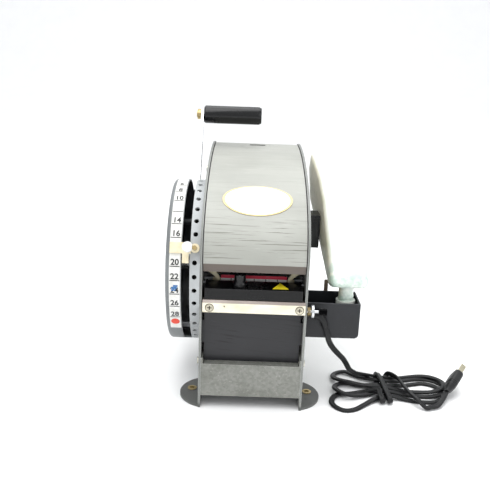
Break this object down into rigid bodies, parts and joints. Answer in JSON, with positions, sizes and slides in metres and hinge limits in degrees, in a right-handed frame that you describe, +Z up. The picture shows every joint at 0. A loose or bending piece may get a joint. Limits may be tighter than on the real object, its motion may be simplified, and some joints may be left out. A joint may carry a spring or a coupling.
{
  "type": "hand-lever gummed tape dispenser",
  "caption": "Bench dispenser for water-activated carton tape: curved cover, length dial with pull lever, water tank with bottle, brush, cutter and a bundled mains cord.",
  "frame": {"origin": "on the floor under the machine, at the centre of the four bolt holes in the ears", "axes": "+Z up, the tape slot faces -Y, the dial and lever are on the -X side, the bottle and cord on the +X side"},
  "size_m": [0.3631, 0.3432, 0.3172],
  "materials": {
    "grey_paint": "satin",
    "cover_paint": "satin, worn",
    "black_paint": "satin",
    "galvanised": "satin",
    "nickel": "polished",
    "steel": "satin",
    "brass": "satin",
    "cream_plastic": "matte",
    "black_plastic": "gloss",
    "white_plastic": "gloss",
    "bottle_plastic": "satin, translucent",
    "label": "matte",
    "yellow_label": "matte",
    "rubber": "matte",
    "roller_rubber": "matte",
    "bristle": "matte",
    "wood": "matte"
  },
  "bodies": {
    "frame": {"left_side_plate": "grey_paint", "right_side_plate": "grey_paint", "ear_eyelets": "brass", "front_cross_plate": "galvanised", "rear_cross_plate": "galvanised", "cross_rods": "steel", "front_panel": "black_paint", "front_bar": "nickel", "bar_screws": "nickel", "side_screws": "steel", "water_tank": "black_paint", "brush_holder": "galvanised", "brush": "bristle", "bottle_bracket": "black_paint", "bottle_post": "wood", "tape_rule": "label", "tape_bridge": "black_paint", "index_ring": "grey_paint", "dial_drum": "grey_paint", "dial_scale": "label", "drum_posts": "steel", "main_shaft": "steel", "shaft_bushes": "brass", "cutter_guides": "galvanised", "fixed_blade": "steel", "front_cover": "cover_paint", "cover_badge": "label", "roll_cradle": "galvanised", "latch_spring": "brass", "strain_relief": "rubber", "power_cord": "rubber", "cord_hank": "rubber", "cord_plug": "rubber"},
    "lever": {"lever_arm": "nickel", "lever_disc": "black_paint", "lever_gear": "black_paint", "grip_bolt": "brass"},
    "hand_grip": {"grip": "black_plastic"},
    "idler": {"idler_gears": "brass", "idler_shaft": "steel"},
    "feed": {"feed_roller": "roller_rubber", "feed_shaft": "steel"},
    "yoke": {"pressure_yoke": "galvanised"},
    "press": {"pressure_roller": "roller_rubber"},
    "cutter": {"cutter_blade": "steel"},
    "selector": {"selector_plate": "cream_plastic"},
    "pull_pin": {"selector_pin": "white_plastic"},
    "heater": {"heater_plate": "black_paint", "lift_knob": "black_plastic", "hot_surface_label": "yellow_label"},
    "guide_left": {"left_guide": "cream_plastic"},
    "guide_right": {"right_guide": "cream_plastic"},
    "roll_door": {"rear_cover": "cover_paint"},
    "cradle_front": {"front_support_roller": "steel"},
    "cradle_rear": {"rear_support_roller": "steel"},
    "latch": {"latch_pin": "nickel"},
    "water_bottle": {"bottle": "bottle_plastic", "bottle_cap": "white_plastic"}
  },
  "joints": [
    {"name": "lever_pull", "type": "hinge", "parent": "frame", "child": "lever", "pos_m": [0, -0.075, 0.146], "axis": [1, 0, 0], "range_deg": [0, 90]},
    {"name": "grip_spin", "type": "hinge", "parent": "lever", "child": "hand_grip", "pos_m": [-0.035, 0.03488, 0.30588], "axis": [1, 0, 0], "continuous": true},
    {"name": "idler_turn", "type": "hinge", "parent": "frame", "child": "idler", "pos_m": [0, -0.04507, 0.08217], "axis": [1, 0, 0], "range_deg": [-516, 2]},
    {"name": "feed_turn", "type": "hinge", "parent": "frame", "child": "feed", "pos_m": [0, -0.073, 0.10719], "axis": [1, 0, 0], "range_deg": [-4, 1326]},
    {"name": "yoke_lift", "type": "hinge", "parent": "frame", "child": "yoke", "pos_m": [0, -0.103, 0.153], "axis": [1, 0, 0], "range_deg": [0, 12], "stiffness_Nm_per_rad": 0.4, "springref_deg": -11.46},
    {"name": "press_turn", "type": "hinge", "parent": "yoke", "child": "press", "pos_m": [0, -0.073, 0.1393], "axis": [1, 0, 0], "range_deg": [-2188, 4]},
    {"name": "blade_drop", "type": "slide", "parent": "frame", "child": "cutter", "axis": [0, 0, -1], "range_m": [0, 0.008], "stiffness_N_per_m": 100, "springref_m": -0.006},
    {"name": "selector_turn", "type": "hinge", "parent": "frame", "child": "selector", "pos_m": [0, -0.075, 0.146], "axis": [1, 0, 0], "range_deg": [-56.04, 56.04]},
    {"name": "pull_pin_slide", "type": "slide", "parent": "selector", "child": "pull_pin", "axis": [0, -0.9191, 0.3939], "range_m": [-0.003, 0]},
    {"name": "heater_lift", "type": "hinge", "parent": "frame", "child": "heater", "pos_m": [0, -0.1395, 0.139], "axis": [-1, 0, 0], "range_deg": [0, 45]},
    {"name": "guide_close", "type": "slide", "parent": "frame", "child": "guide_left", "axis": [1, 0, 0], "range_m": [0, 0.02]},
    {"name": "guide_mate", "type": "slide", "parent": "frame", "child": "guide_right", "axis": [1, 0, 0], "range_m": [-0.02, 0]},
    {"name": "roll_door_open", "type": "hinge", "parent": "frame", "child": "roll_door", "pos_m": [0, 0.155, 0.05], "axis": [-1, 0, 0], "range_deg": [0, 95]},
    {"name": "cradle_front_spin", "type": "hinge", "parent": "frame", "child": "cradle_front", "pos_m": [0, -0.01054, 0.06667], "axis": [1, 0, 0], "continuous": true},
    {"name": "cradle_rear_spin", "type": "hinge", "parent": "frame", "child": "cradle_rear", "pos_m": [0, 0.11054, 0.06667], "axis": [1, 0, 0], "continuous": true},
    {"name": "latch_push", "type": "slide", "parent": "frame", "child": "latch", "axis": [-1, 0, 0], "range_m": [0, 0.0025], "stiffness_N_per_m": 300, "springref_m": -0.003, "deforming": ["latch_spring"]},
    {"name": "bottle_lift", "type": "slide", "parent": "frame", "child": "water_bottle", "axis": [0, 0, 1], "range_m": [0, 0.045]}
  ],
  "couplings": [
    {"joint": "idler_turn", "follows": "lever_pull", "ratio": -5.7143},
    {"joint": "feed_turn", "follows": "lever_pull", "ratio": 14.694},
    {"joint": "press_turn", "follows": "lever_pull", "ratio": -24.255},
    {"joint": "guide_mate", "follows": "guide_close", "ratio": -1}
  ]
}
